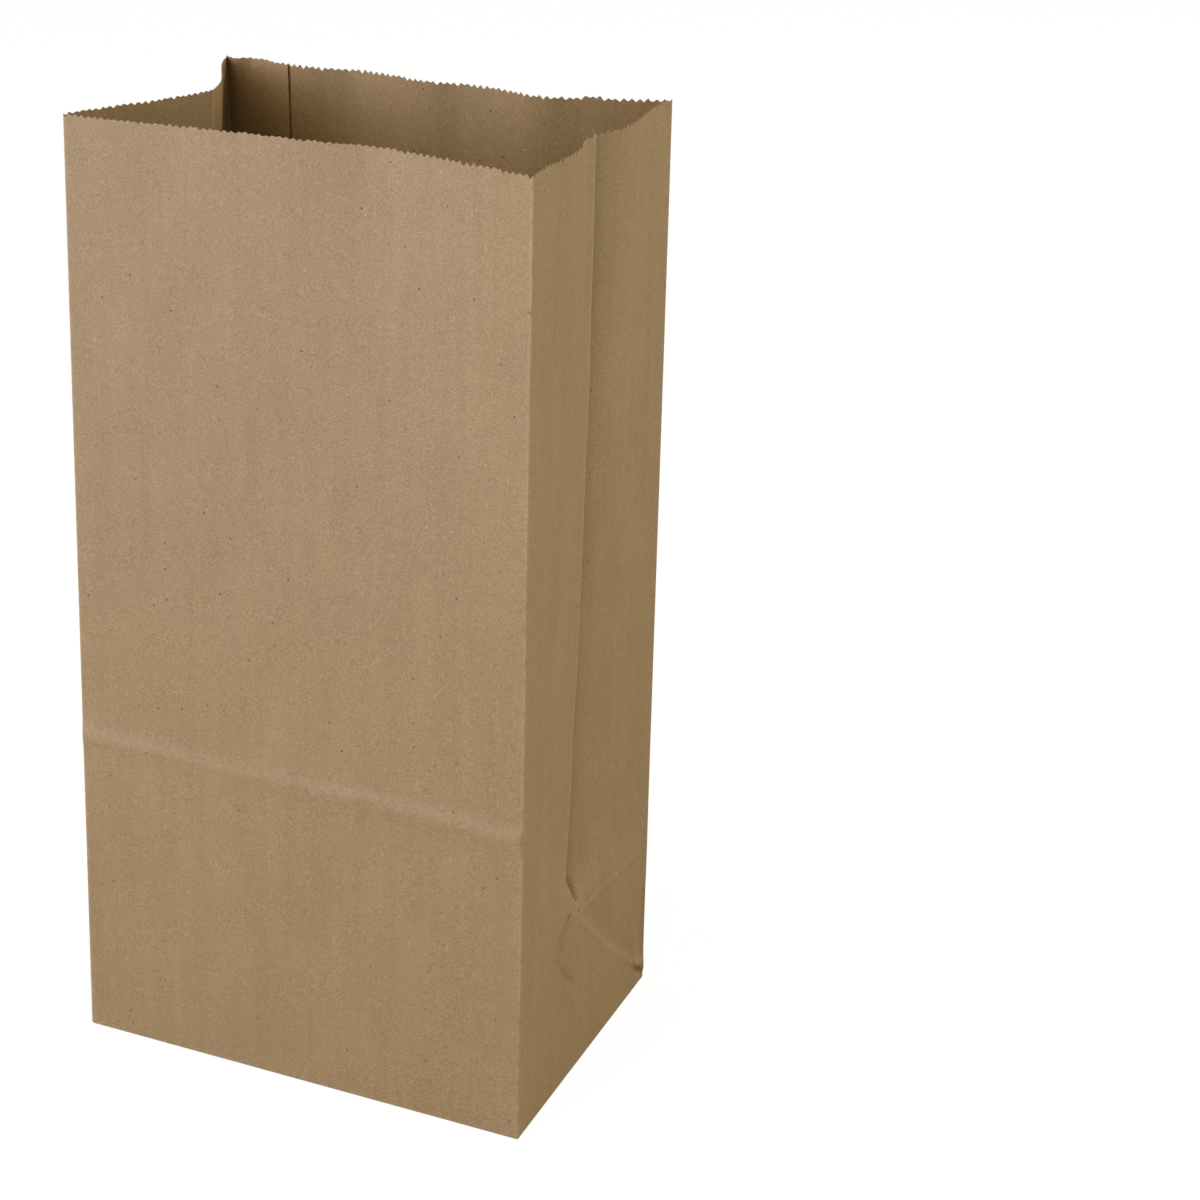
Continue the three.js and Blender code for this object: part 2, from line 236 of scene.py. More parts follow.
@dataclass
class OpenedShape:
    """How the folded sheet stands: the lean of its corners, its creases and its waves.

    Shifts are (x, y) at the mouth, from straight above the base. Depths are into the bag, and
    all sizes are in millimetres.
    """

    sizes: SheetSizes
    front_left: tuple[float, float] = (3.4, 8.0)
    front_right: tuple[float, float] = (1.8, -1.4)
    back_right: tuple[float, float] = (1.0, -1.8)
    back_left: tuple[float, float] = (3.0, -0.4)
    right_crease: tuple[float, float, float] = (2.3, 6.0, 2.2)
    left_crease: tuple[float, float, float] = (7.4, 9.0, 18.4)
    kink_rise: float = 9.0
    kink_spread: float = 22.0
    wave_fade: float = 1.6
    crease_bow: float = 0.8
    rim_reach: float = 16.0
    press_height: float = 86.2
    press_proud: float = 0.4
    press_above: float = 2.2
    press_below: float = 2.6
    cockle_waves: int = 7
    cockle_height: float = 0.07
    cockle_seed: int = 11
    cockle_from: float = 30.0
    furrow_reach: float = 3.2
    furrow_depth: float = 1.1
    furrow_flank: float = 0.7
    furrow_wide_from: float = 150.0
    furrow_wide_run: float = 80.0
    furrow_tight_to: float = 112.0
    furrow_tight_run: float = 40.0
    fold_samples: int = 5

    def corner(self, k: int, z: np.ndarray) -> tuple[np.ndarray, np.ndarray]:
        """A corner's place in plan at each height.

        Args:
            k: The corner's number, from the front left one round to the right.
            z: Height.

        Returns:
            The corner's x and y.
        """
        s = self.sizes
        sign_x, sign_y = CORNER_SIGNS[k % 4]
        shifts = (self.front_left, self.front_right, self.back_right, self.back_left)
        dx, dy = shifts[k % 4]
        share = z / s.height
        return sign_x * s.width / 2 + dx * share, sign_y * s.depth / 2 + dy * share

    def wave_share(self, z: np.ndarray) -> np.ndarray:
        """How much of the mouth's wave is left at a height.

        Args:
            z: Height.

        Returns:
            A share, 0 at the base triangle's tip and 1 at the mouth.
        """
        s = self.sizes
        rise = np.clip((z - s.half_gusset) / (s.height - s.half_gusset), 0.0, 1.02)
        return rise**self.wave_fade

    def rim_share(self, z: np.ndarray) -> np.ndarray:
        """How much of the cut edge's own small waves is left at a height."""
        return np.exp(-np.maximum(self.sizes.height - z, 0.0) / self.rim_reach)

    def press_line(self, x: np.ndarray, z: np.ndarray) -> np.ndarray:
        """The soft pressed line across the front: a short slope above, a gentle one below.

        Args:
            x: Way across the front.
            z: Height.

        Returns:
            How far the paper stands forward.
        """
        crest = self.press_height + 0.35 * np.sin(x / 11.0) + 0.25 * np.sin(x / 4.3 + 1.0)
        off = z - crest
        reach = np.where(off > 0, self.press_above, self.press_below)
        strength = 0.9 + 0.25 * np.sin(x / 17.0 + 2.0)
        return self.press_proud * strength * np.exp(-((off / reach) ** 2))

    def cockle(self, x: np.ndarray, z: np.ndarray, seed: int) -> np.ndarray:
        """The faint unevenness of a paper panel.

        Args:
            x: Way across the panel.
            z: Height.
            seed: The panel's own number, which sets its waves.

        Returns:
            The height added at each point.
        """
        rng = np.random.default_rng(seed)
        total = np.zeros(np.broadcast(x, z).shape)
        for _ in range(self.cockle_waves):
            fx, fz = rng.uniform(0.012, 0.055), rng.uniform(0.006, 0.028)
            turn = rng.uniform(0, 2 * math.pi, 2)
            size = rng.uniform(0.5, 1.0)
            across = np.sin(2 * math.pi * fx * x + turn[0])
            total = total + size * across * np.sin(2 * math.pi * fz * z + turn[1])
        return total * self.cockle_height

    def crease_in(self, z: np.ndarray, crease: tuple, rise: np.ndarray) -> np.ndarray:
        """How far the centre crease stands in, above the tip of the base triangle.

        Args:
            z: Height.
            crease: The crease's depth at the tip of the base triangle, at the kink and on top.
            rise: The kink's height above the tip.

        Returns:
            The depth at each point.
        """
        s = self.sizes
        apex, low, top = crease
        kink = s.half_gusset + rise
        lower = apex + (low - apex) * smooth((z - s.half_gusset) / rise)
        share = (z - kink) / (s.height - kink)
        bow = self.crease_bow * np.sin(math.pi * np.clip(share, 0.0, 1.0))
        upper = low + (top - low) * share - bow
        return np.where(z <= kink, lower, upper)

    def gusset_in(self, m: np.ndarray, z: np.ndarray, crease: tuple, curve: Points) -> np.ndarray:
        """How far a half gusset stands in.

        Args:
            m: Distance from the half's own corner.
            z: Height.
            crease: The crease's depth at the tip of the base triangle, at the kink and on top.
            curve: The half's wave at the mouth.

        Returns:
            The depth at each point.
        """
        s = self.sizes
        along = np.clip(m / s.half_gusset, 0.0, 1.0)
        up = np.clip(z / s.half_gusset, 0.0, None)
        base = crease[0] * np.minimum(along, up)
        rise = self.kink_rise + self.kink_spread * (1 - along) ** 0.7
        upper = self.crease_in(z, crease, rise) * along + wave(curve, along) * self.wave_share(z)
        return np.where(up <= 1.0, base, upper)

    def furrow(self, m: np.ndarray, z: np.ndarray) -> np.ndarray:
        """The sharp valley of the right gusset's centre crease, steep on its near side.

        It is wide and deep towards the mouth, and narrow and fairly deep near the base.

        Args:
            m: Distance along the gusset from the front corner.
            z: Height.

        Returns:
            The depth at each point.
        """
        s = self.sizes
        off = m - s.half_gusset
        high = smooth((z - self.furrow_wide_from) / self.furrow_wide_run)
        low = smooth((self.furrow_tight_to - z) / self.furrow_tight_run)
        reach = self.furrow_reach + 0.8 * high - 0.8 * low
        reach = reach * (0.3 + 0.7 * smooth((z - 50.0) / 6.0))
        depth = self.furrow_depth + 0.6 * high + 0.3 * low
        near_side = 1 - smooth(-off / self.furrow_flank)
        shape = np.where(off < 0, near_side, np.exp(-np.maximum(off, 0.0) / reach))
        ends = smooth((z - s.half_gusset - 1.8) / 2.5)
        return depth * ends * shape

    def crumple(self, m: np.ndarray, z: np.ndarray) -> np.ndarray:
        """The wrinkles where the right gusset's creases meet.

        Args:
            m: Distance along the gusset from the front corner.
            z: Height.

        Returns:
            The height added at each point, outwards.
        """
        tip = self.sizes.half_gusset
        inside = smooth((self.sizes.depth - m) / 0.8)
        out = np.zeros(np.broadcast(m, z).shape)
        for wrinkle in WRINKLES:
            out = out + wrinkle.rise(m - tip, z - tip)
        return out * inside

    def wall(self, r: np.ndarray, z: np.ndarray) -> tuple[np.ndarray, ...]:
        """The outer face of the standing walls, with sharp folds.

        Args:
            r: Way round from the front left corner, in millimetres.
            z: Height.

        Returns:
            The x, y and z of each point.
        """
        s = self.sizes
        w, d = s.width, s.depth
        starts = (0.0, w, w + d, 2 * w + d)
        x = np.zeros(np.broadcast(r, z).shape)
        y = np.zeros_like(x)
        for side, start in zip(Side, starts):
            length = d if side % 2 else w
            here = (r >= start) & (r <= start + length)
            at = np.clip(r - start, 0.0, length)
            x0, y0 = self.corner(side, z)
            x1, y1 = self.corner(side + 1, z)
            px = x0 + (x1 - x0) * at / length
            py = y0 + (y1 - y0) * at / length
            free = np.sin(math.pi * at / length) ** 0.5 * smooth(z / self.cockle_from)
            uneven = self.cockle(at, z, self.cockle_seed + side) * free
            near = np.minimum(at, length - at)
            if side is Side.FRONT:
                py = py + wave(FRONT_WAVE, at / w) * self.wave_share(z)
                py = py + wave(FRONT_RIM, at / w) * self.rim_share(z)
                py = py - self.press_line(at, z) + uneven
            elif side is Side.BACK:
                py = py - wave(BACK_WAVE, 1 - at / w) * self.wave_share(z) + uneven
                py = py - wave(BACK_RIM, 1 - at / w) * self.rim_share(z)
            elif side is Side.RIGHT:
                nearer = self.gusset_in(near, z, self.right_crease, RIGHT_NEAR_WAVE)
                further = self.gusset_in(near, z, self.right_crease, RIGHT_FAR_WAVE)
                inward = np.where(at < s.half_gusset, nearer, further)
                px = px - inward - self.furrow(at, z) + self.crumple(at, z) + uneven
                px = px - wave(RIGHT_RIM, at / d) * self.rim_share(z)
            else:
                nearer = self.gusset_in(near, z, self.left_crease, LEFT_NEAR_WAVE)
                further = self.gusset_in(near, z, self.left_crease, LEFT_FAR_WAVE)
                px = px + np.where(at < s.half_gusset, further, nearer) + uneven
            x = np.where(here, px, x)
            y = np.where(here, py, y)
        return x, y, z + np.zeros_like(x)

    def base(self, r: np.ndarray, d: np.ndarray) -> tuple[np.ndarray, ...]:
        """The outer face of the folded base, with mitred corners.

        Args:
            r: Way round from the front left corner.
            d: Distance in from the base fold.

        Returns:
            The x, y and z of each point.
        """
        s = self.sizes
        x, y, _ = self.wall(r, np.zeros_like(r))
        panel = (r <= s.width) | ((r >= s.width + s.depth) & (r <= 2 * s.width + s.depth))
        back = (r >= s.width + s.depth) & panel
        narrow_x = np.clip(1 - 2 * d / s.width, 0.0, 1.0)
        narrow_y = np.clip(1 - 2 * d / s.depth, 0.0, 1.0)
        flap_y = np.where(back, s.half_gusset - d, d - s.half_gusset)
        px = np.where(panel, x * narrow_x, np.sign(x) * (s.width / 2 - d))
        py = np.where(panel, flap_y, y * narrow_y)
        lapped = smooth((d - (s.half_gusset - s.flap_lap - s.lap_run)) / s.lap_slope)
        level = np.where(back, 1 - lapped, 1.0)
        return px, py, s.layer * np.where(panel, level, 2.0)

    def place(self, a: np.ndarray, v: np.ndarray) -> np.ndarray:
        """Folds points of the flat sheet into the standing bag, with rounded folds.

        Args:
            a: Way along the flat sheet, measured like the way round the tube.
            v: Height above the base fold on the flat sheet, negative on the base flaps.

        Returns:
            One row of x, y and z in millimetres for each point.
        """
        s = self.sizes
        total = np.zeros((a.size, 3))
        steps = np.linspace(-1.0, 1.0, self.fold_samples)
        past = a - s.inner_edge
        under = s.seam_under * s.paper * (1 - smooth((past - s.seam_lap) / s.seam_ease))
        under = under + s.seam_lift * (1 - smooth(past / s.seam_curl)) * (v > 0)
        for da in steps * s.fold_radius:
            for dv in steps * s.base_fold_radius:
                r = np.mod(a + da, s.girth)
                up = v + dv
                wx, wy, wz = self.wall(r, np.maximum(up, 0.0))
                bx, by, bz = self.base(r, np.maximum(-up, 0.0))
                on_base = up < 0
                total[:, 0] += np.where(on_base, bx, wx)
                total[:, 1] += np.where(on_base, by, wy - under)
                total[:, 2] += np.where(on_base, bz + under, wz + s.layer)
        return total / steps.size**2


FRONT_WAVE: Points = [
    (0, 0), (0.13, 0.9), (0.25, 2.5), (0.36, 3.8), (0.48, 5.1), (0.58, 6.2),
    (0.68, 6.9), (0.79, 5.6), (0.88, 3.5), (0.95, 1.4), (1, 0),
]
FRONT_RIM: Points = [
    (0, 0), (0.25, 0.4), (0.4, 0.1), (0.5, -0.3), (0.57, -0.3), (0.64, 0.5), (0.72, 0.3),
    (0.8, -0.1), (0.85, -0.5), (0.9, 0.4), (0.95, -0.2), (1, 0),
]
BACK_WAVE: Points = [
    (0, 0), (0.12, 1.4), (0.25, 2.2), (0.37, 3.0), (0.49, 5.0), (0.62, 6.6),
    (0.75, 9.0), (0.85, 7.4), (0.94, 3.8), (1, 0),
]
BACK_RIM: Points = [
    (0, 0), (0.03, 1.2), (0.066, -1.1), (0.13, 0.3), (0.18, 0.9), (0.25, 0.6), (0.31, -1.2),
    (0.37, -1.0), (0.43, 0.3), (0.49, 1.2), (0.57, -0.6), (0.66, -0.8), (0.74, 1.3),
    (0.84, 0.0), (1, 0),
]
RIGHT_NEAR_WAVE: Points = [(0, 0), (0.3, 0.3), (0.6, -0.1), (0.87, 0.7), (1, 0)]
RIGHT_FAR_WAVE: Points = [
    (0, 0), (0.17, 0.2), (0.28, 0.5), (0.42, -0.4), (0.62, -1.9), (0.8, -1.9), (1, 0),
]
RIGHT_RIM: Points = [
    (0, 0), (0.1, 0.2), (0.2, -0.6), (0.3, -1.0), (0.37, -0.5), (0.44, 0.7), (0.5, 0), (0.55, 0),
    (0.85, 0), (0.92, 0.8), (0.96, 1.0), (1, 0),
]
LEFT_NEAR_WAVE: Points = [(0, 0), (0.3, 0.4), (0.6, 1.4), (0.85, 1.0), (1, 0)]
LEFT_FAR_WAVE: Points = [(0, 0), (0.25, -0.5), (0.62, 1.2), (0.85, 0.9), (1, 0)]


@dataclass(frozen=True)
class Wrinkle:
    """A wrinkle of the right gusset, placed from the tip of its base triangle in millimetres."""

    line: Points
    width: float
    height: float
    stepped: bool = False

    @property
    def fine(self) -> bool:
        """True if the wrinkle needs a finer mesh."""
        return self.stepped or self.width < 1.0

    @property
    def gets_painted_line(self) -> bool:
        """True if the wrinkle also gets a painted line: painted highlight on a ridge, painted shade
        in a furrow.
        """
        return not self.stepped and self.width <= 2.0

    def rise(self, x: np.ndarray, y: np.ndarray) -> np.ndarray:
        """The height that the wrinkle adds at each point, outwards."""
        profile = lip if self.stepped else creases
        return profile(x, y, self.line, self.width, self.height)


# Wrinkles no wider than 2 mm and not stepped also get painted highlight on ridges and painted shade
# in furrows.
WRINKLES: list[Wrinkle] = [
    # the raised lip above the tip, the hook at its end and the faint line on from it
    Wrinkle([(-0.7, 6.2), (-3.8, 3.6), (-7.0, 2.9)], 1.6, 0.22, True),
    Wrinkle([(-7.0, 2.9), (-8.4, 1.7)], 0.55, -0.4),
    Wrinkle([(-8.4, 1.7), (-14.6, 0.2)], 1.1, -0.2),
    # the arm that goes on down and back to the triangle's side
    Wrinkle([(-13.0, -2.8), (-14.6, -3.6)], 0.6, -0.35),
    Wrinkle([(-16.6, -4.3), (-17.5, -4.6), (-15.4, -7.0)], 0.8, -0.18),
    Wrinkle([(-13.6, -9.2), (-11.2, -12.0), (-6.0, -17.0)], 0.9, -0.2),
    # the small pits at the tip and behind it
    Wrinkle([(-0.6, 0.7), (-0.1, 0.9)], 0.5, -0.5),
    Wrinkle([(4.5, 1.2), (6.2, 1.6)], 0.4, -0.28),
    Wrinkle([(7.6, 1.9), (8.3, 2.2)], 0.4, -0.3),
    # the level fold to the back edge, and the triangle's own back fold
    Wrinkle([(1.0, 0.2), (6.4, 0.6), (42.5, 0.0)], 0.6, 0.14),
    Wrinkle([(-0.5, -1.0), (17.2, -18.7), (37.0, -35.5)], 0.9, 0.2),
    Wrinkle([(7.0, -4.0), (33.5, -30.0)], 2.4, -0.22),
    # the pinch at the back base corner and the hollow above it
    Wrinkle([(42.8, -40.4), (39.8, -38.4), (36.5, -36.1)], 2.6, 0.9, True),
    Wrinkle([(40.0, -36.4), (36.2, -33.8)], 1.0, 0.25),
    Wrinkle([(42.4, -40.2), (39.8, -38.4), (37.5, -36.8)], 1.0, -0.5),
    # a wide shallow furrow along the back edge, which also gets painted shade
    Wrinkle([(41.6, -33.0), (42.2, -14.0)], 2.0, -0.2),
]


@dataclass
class PaleFoldsAndPaintedLight:
    """Where the paper is painted paler along its folds, with painted highlight on lit creases,
    slopes and ridges, and painted shade in its furrows and behind the right crease.

    Widths are in millimetres. What ends in pale or dark is a share from 0 to 1, and the furrows'
    painted shade is a share for each millimetre of a furrow's depth.
    """

    sizes: SheetSizes
    shape: OpenedShape
    fold_width: float = 0.6
    crease_width: float = 0.5
    crease_aside: float = 0.9
    base_width: float = 0.8
    painted_shade_width: float = 1.6
    fold_pale: float = 0.6
    gusset_painted_highlight: float = 0.45
    base_pale: float = 0.5
    press_painted_highlight: float = 0.12
    ridge_painted_highlight: float = 0.15
    crease_painted_shade: float = 0.3
    furrow_painted_shade: float = 1.7
    darkest_painted_shade: float = 0.75

    def at(self, a: np.ndarray, v: np.ndarray) -> np.ndarray:
        """How pale or dark the paper is painted at points of the flat sheet.

        Args:
            a: Way along the flat sheet.
            v: Height above the base fold on the flat sheet.

        Returns:
            From 0 to 1 where folds are paler and where highlight is painted, and down to -1 where
            shade is painted.
        """
        s = self.sizes
        r = np.mod(a, s.girth)
        starts = (0.0, s.width, s.width + s.depth, 2 * s.width + s.depth, s.girth)
        pale_folds_and_painted_light = np.zeros(a.shape)
        for start in starts:
            fold = np.exp(-(((r - start) / self.fold_width) ** 2))
            pale_folds_and_painted_light = np.maximum(pale_folds_and_painted_light, self.fold_pale * fold)
        # painted highlight on the lit near edge of each gusset's centre crease
        for crease in (s.width + s.half_gusset, s.girth - s.half_gusset):
            line = np.exp(-(((r - crease + self.crease_aside) / self.crease_width) ** 2))
            line = line * smooth((v - s.half_gusset) / 6.0)
            pale_folds_and_painted_light = np.maximum(pale_folds_and_painted_light, self.gusset_painted_highlight * line)
        pale_folds_and_painted_light = np.maximum(pale_folds_and_painted_light, self.base_pale * np.exp(-((v / self.base_width) ** 2)))
        # painted highlight on the press line's upper, lit slope
        on_front = r < s.width
        pressed = self.shape.press_line(r, v - self.crease_aside) / self.shape.press_proud
        pale_folds_and_painted_light = np.maximum(pale_folds_and_painted_light, self.press_painted_highlight * np.clip(pressed, 0.0, 1.0) * on_front)
        tip = s.half_gusset
        on_right = (r > s.width) & (r < s.width + s.depth)
        behind = r - s.width - tip
        # painted shade in a strip just behind the right gusset's centre crease
        shade = np.exp(-np.maximum(behind, 0.0) / self.painted_shade_width) * (behind > 0)
        dark = self.crease_painted_shade * shade * smooth((v - tip - 5.0) / 4.0)
        # painted highlight along the wrinkles' ridges and painted shade in their furrows
        for wrinkle in (w for w in WRINKLES if w.gets_painted_line):
            share = wrinkle.rise(behind, v - tip) / wrinkle.height
            if wrinkle.height > 0:
                pale_folds_and_painted_light = np.maximum(pale_folds_and_painted_light, self.ridge_painted_highlight * share * on_right)
            else:
                depth = min(self.darkest_painted_shade, -self.furrow_painted_shade * wrinkle.height)
                dark = np.maximum(dark, depth * share)
        return pale_folds_and_painted_light - dark * on_right


@dataclass
class KnifeCut:
    """The saw-toothed edge that the knife left across the flattened tube.

    Its teeth are fuller towards the front's right, on the right gusset and at the back, and
    flattened at the back's left end. Heights are in millimetres, and places are shares of a
    panel's width.
    """

    sizes: SheetSizes
    unevenness: float = 0.22
    raggedness: float = 0.11
    gap_variety: float = 0.35
    plain_depth: float = 0.6
    fuller_front: float = 0.3
    fuller_from: float = 0.45
    fuller_run: float = 0.4
    fuller_back: float = 0.25
    flattened: float = 0.6
    flattened_from: float = 0.86
    flattened_run: float = 6.0
    lifted_teeth: tuple[float, float] = (0.137, 0.155)
    lifted_height: float = 0.8
    layer_length: float = 71.0
    lots: int = 4096
    seed: int = 5

    def flat_place(self, r: np.ndarray) -> np.ndarray:
        """Where the knife met the sheet, measured across the flattened tube.

        Args:
            r: Way round from the front left corner.

        Returns:
            The place of each point, from the flattened tube's left edge.
        """
        s = self.sizes
        w, d = s.width, s.depth
        right = w - np.minimum(r - w, w + d - r)
        left = np.minimum(r - (2 * w + d), s.girth - r)
        back = 2 * w + d - r
        place = np.where(r <= w, r, right)
        place = np.where(r > w + d, back, place)
        return np.where(r > 2 * w + d, left, place)

    def drop(self, a: np.ndarray) -> np.ndarray:
        """How far below the tips the cut edge lies along the sheet.

        Each tooth, gap and quarter tooth draws its own lot, and so does each layer of paper.

        Args:
            a: Way along the flat sheet.

        Returns:
            The drop of each point.
        """
        s = self.sizes
        r = np.mod(a, s.girth)
        share = self.flat_place(r) / s.tooth_pitch
        tooth, gap = np.floor(share + 0.5).astype(int), np.floor(share).astype(int)
        quarter = np.rint(share * 4).astype(int)
        layer = (r // self.layer_length).astype(int)
        lot = np.random.default_rng(self.seed).uniform(-1, 1, self.lots)
        tooth_lot = lot[(tooth * 7 + layer * 613) % self.lots]
        gap_lot = lot[(gap * 5 + layer * 331) % self.lots]
        ragged = self.raggedness * lot[(quarter * 11 + layer * 97) % self.lots]
        down = 1 - np.abs(2 * (share - gap) - 1)
        blunt = self.unevenness * (1 - down) * (0.5 + 0.5 * tooth_lot)
        back = s.width + s.depth
        lifted = sum(np.exp(-((r - back - at * s.width) ** 2)) for at in self.lifted_teeth)
        flat = smooth((r - back - self.flattened_from * s.width) / self.flattened_run)
        flat = flat * (r < back + s.width)
        fuller = smooth((r / s.width - self.fuller_from) / self.fuller_run) * (r < s.width)
        fuller = self.fuller_front * fuller
        fuller = fuller + self.fuller_back * ((r > s.width) & (r < back + s.width))
        depth = s.tooth_depth * (self.plain_depth + fuller) * (1 - self.flattened * flat)
        depth = depth * (1 + self.gap_variety * gap_lot)
        return depth * down + blunt + ragged - self.lifted_height * lifted


@dataclass
class PaperSheet:
    """The one sheet of paper, modelled flat and then folded.

    Its own sizes, in millimetres, are those of its mesh: how close its lines stand at a fold, at
    the wrinkles and at the inner edge, how far from a fold the others keep, where it is divided
    for the wrinkles, and how high its rim is divided for the teeth.
    """

    sizes: SheetSizes
    shape: OpenedShape
    knife: KnifeCut
    name: str = "kraft_sheet"
    fold_clear: float = 1.3
    fold_pitch: float = 0.35
    crease_clear: float = 8.8
    crumple_pitch: float = 0.9
    edge_pitch: float = 0.5
    least_gap: float = 0.22
    crumple_ahead: float = 16.0
    crumple_foot: float = 0.5
    crumple_top: float = 53.5
    gusset_flap_trim: float = 0.5
    rim: float = 2.7
    rim_tip: float = 0.7
    merge_within: float = 0.02

    def columns(self) -> list[float]:
        """Places of the sheet's upright lines: one for each tooth, and more at the folds.

        Returns:
            The places along the flat sheet, in rising order.
        """
        s = self.sizes
        w, d, h, p = s.width, s.depth, s.half_gusset, s.tooth_pitch
        folds = [0.0, w, w + h, w + d, 2 * w + d, 2 * w + d + h, s.girth]
        places: list[float] = []
        for k in range(int(w / p) + 1):
            flat = k * p
            places += [flat, 2 * w + d - flat]
            if w - flat < h:
                places += [2 * w - flat, w + d - (w - flat)]
            if flat < h:
                places += [2 * w + d + flat, s.girth - flat]
        fine = [w + h + x for x in (-7.4, -5.5, -3.7, -2.6, -1.8, 1.6, 2.4, 3.4, 4.6, 6.2, 8.0)]
        places = [x for x in places if min(abs(x - f) for f in folds) > self.fold_clear]
        places = [x for x in places if abs(x - w - h) > self.crease_clear] + fine
        for fold in folds:
            places += [fold + k * self.fold_pitch for k in range(-3, 4)]
        places += [w + d - k * self.crumple_pitch for k in range(2, 9)]
        wrapped = sorted({round(x % s.girth, 4) for x in places})
        every = [x - s.girth for x in wrapped] + wrapped
        inside = [x for x in every if s.inner_edge + 0.25 < x < s.outer_edge - 0.25]
        edge = [s.inner_edge + k * self.edge_pitch for k in range(7)]
        ordered = sorted([*edge, *inside, s.outer_edge])
        kept = [ordered[0]]
        for x in ordered[1:]:
            if x - kept[-1] > self.least_gap or x == ordered[-1]:
                kept.append(x)
        return kept

    def rows(self) -> list[float]:
        """Heights of the sheet's level lines, closest where it is creased.

        Returns:
            The heights above the base fold, in rising order.
        """
        s = self.sizes
        top = s.height - s.layer
        flaps = [-s.flap_length, -(s.half_gusset - 0.3), -30.5, -28.5, -15.0, -6.0, -1.5]
        fold = [-0.7, -0.35, 0.0, 0.35, 0.7, 1.3]
        low = list(np.arange(2.1, 9.0, 0.95)) + list(np.arange(9.5, 36.0, 1.7))
        crumpled = list(np.arange(36.5, 54.0, 1.05))
        middle = list(np.arange(56.5, 81.0, 3.4))
        pressed = list(np.arange(81.5, 92.0, 0.8))
        upper = list(np.linspace(94.0, top - 8.5, 27))
        rim = [top - 6.0, top - 4.2, top - 2.7, top - 1.5, top]
        return flaps + fold + low + crumpled + middle + pressed + upper + rim

    def flat_grid(self) -> bpy.types.Object:
        """Adds the flat sheet as a grid whose lines stand where the folds and teeth need them.

        Returns:
            The flat sheet, in millimetres.
        """
        columns, rows = self.columns(), self.rows()
        bpy.ops.object.select_all(action="DESELECT")
        bpy.ops.mesh.primitive_grid_add(
            x_subdivisions=len(columns) - 1, y_subdivisions=len(rows) - 1, size=2.0
        )
        sheet = bpy.context.object
        sheet.name = sheet.data.name = self.name
        co = read_points(sheet)
        i = np.rint((co[:, 0] + 1) / 2 * (len(columns) - 1)).astype(int)
        j = np.rint((co[:, 1] + 1) / 2 * (len(rows) - 1)).astype(int)
        co[:, 0] = np.array(columns)[i]
        co[:, 1] = np.array(rows)[j]
        write_points(sheet, co)
        return sheet

    def trim_flaps(self, sheet: bpy.types.Object) -> None:
        """Cuts away what the gussets lose at the base, where their triangles come to a point.

        Args:
            sheet: The flat sheet.
        """
        s = self.sizes
        limit = -(s.half_gusset - self.gusset_flap_trim)
        centres = face_centres(sheet)
        r = np.mod(centres[:, 0], s.girth)
        on_gusset = ((r > s.width) & (r < s.width + s.depth)) | (r > 2 * s.width + s.depth)
        select_faces(sheet, on_gusset & (centres[:, 1] < limit))
        bpy.ops.object.mode_set(mode="EDIT")
        bpy.ops.mesh.delete(type="FACE")
        bpy.ops.object.mode_set(mode="OBJECT")

    def refine_crumple(self, sheet: bpy.types.Object) -> None:
        """Divides the flat sheet more finely where the right gusset is wrinkled.

        Args:
            sheet: The flat sheet.
        """
        s = self.sizes
        centres = face_centres(sheet)
        m, v = centres[:, 0] - s.width, centres[:, 1]
        across = (m > s.half_gusset - self.crumple_ahead) & (m < s.depth)
        select_faces(sheet, across & (v > self.crumple_foot) & (v < self.crumple_top))
        divide_selected()
        centres = face_centres(sheet)
        x, y = centres[:, 0] - s.width - s.half_gusset, centres[:, 1] - s.half_gusset
        close = [creases(x, y, w.line, 1.0, 1.0) > 0.3 for w in WRINKLES if w.fine]
        select_faces(sheet, np.any(close, axis=0))
        divide_selected()

    def cut_teeth(self, sheet: bpy.types.Object) -> None:
        """Divides the rim so that every tooth has its valley, and cuts it to the knife's line.

        Args:
            sheet: The flat sheet.
        """
        top = max(self.rows())
        for reach in (self.rim, self.rim_tip):
            select_faces(sheet, face_centres(sheet)[:, 1] > top - reach)
            divide_selected()
        co = read_points(sheet)
        near = smooth((co[:, 1] - (top - self.rim)) / self.rim)
        co[:, 1] -= self.knife.drop(co[:, 0]) * near
        write_points(sheet, co)

    def build(self) -> bpy.types.Object:
        """Makes the sheet flat, cuts its edge, folds it and gives it its thickness.

        Returns:
            The folded sheet, in metres.
        """
        sheet = self.flat_grid()
        self.trim_flaps(sheet)
        self.refine_crumple(sheet)
        self.cut_teeth(sheet)
        co = read_points(sheet)
        # paler folds, painted highlight and painted shade, carried to the material as an attribute
        pale_folds_and_painted_light = PaleFoldsAndPaintedLight(self.sizes, self.shape).at(co[:, 0], co[:, 1])
        sheet.data.attributes.new("pale_folds_and_painted_light", "FLOAT", "POINT").data.foreach_set("value", pale_folds_and_painted_light)
        write_points(sheet, self.shape.place(co[:, 0], co[:, 1]) * MM)
        bpy.ops.object.mode_set(mode="EDIT")
        bpy.ops.mesh.select_all(action="SELECT")
        bpy.ops.mesh.remove_doubles(threshold=self.merge_within * MM)
        bpy.ops.object.mode_set(mode="OBJECT")
        thicken(sheet, self.sizes.paper)
        return sheet


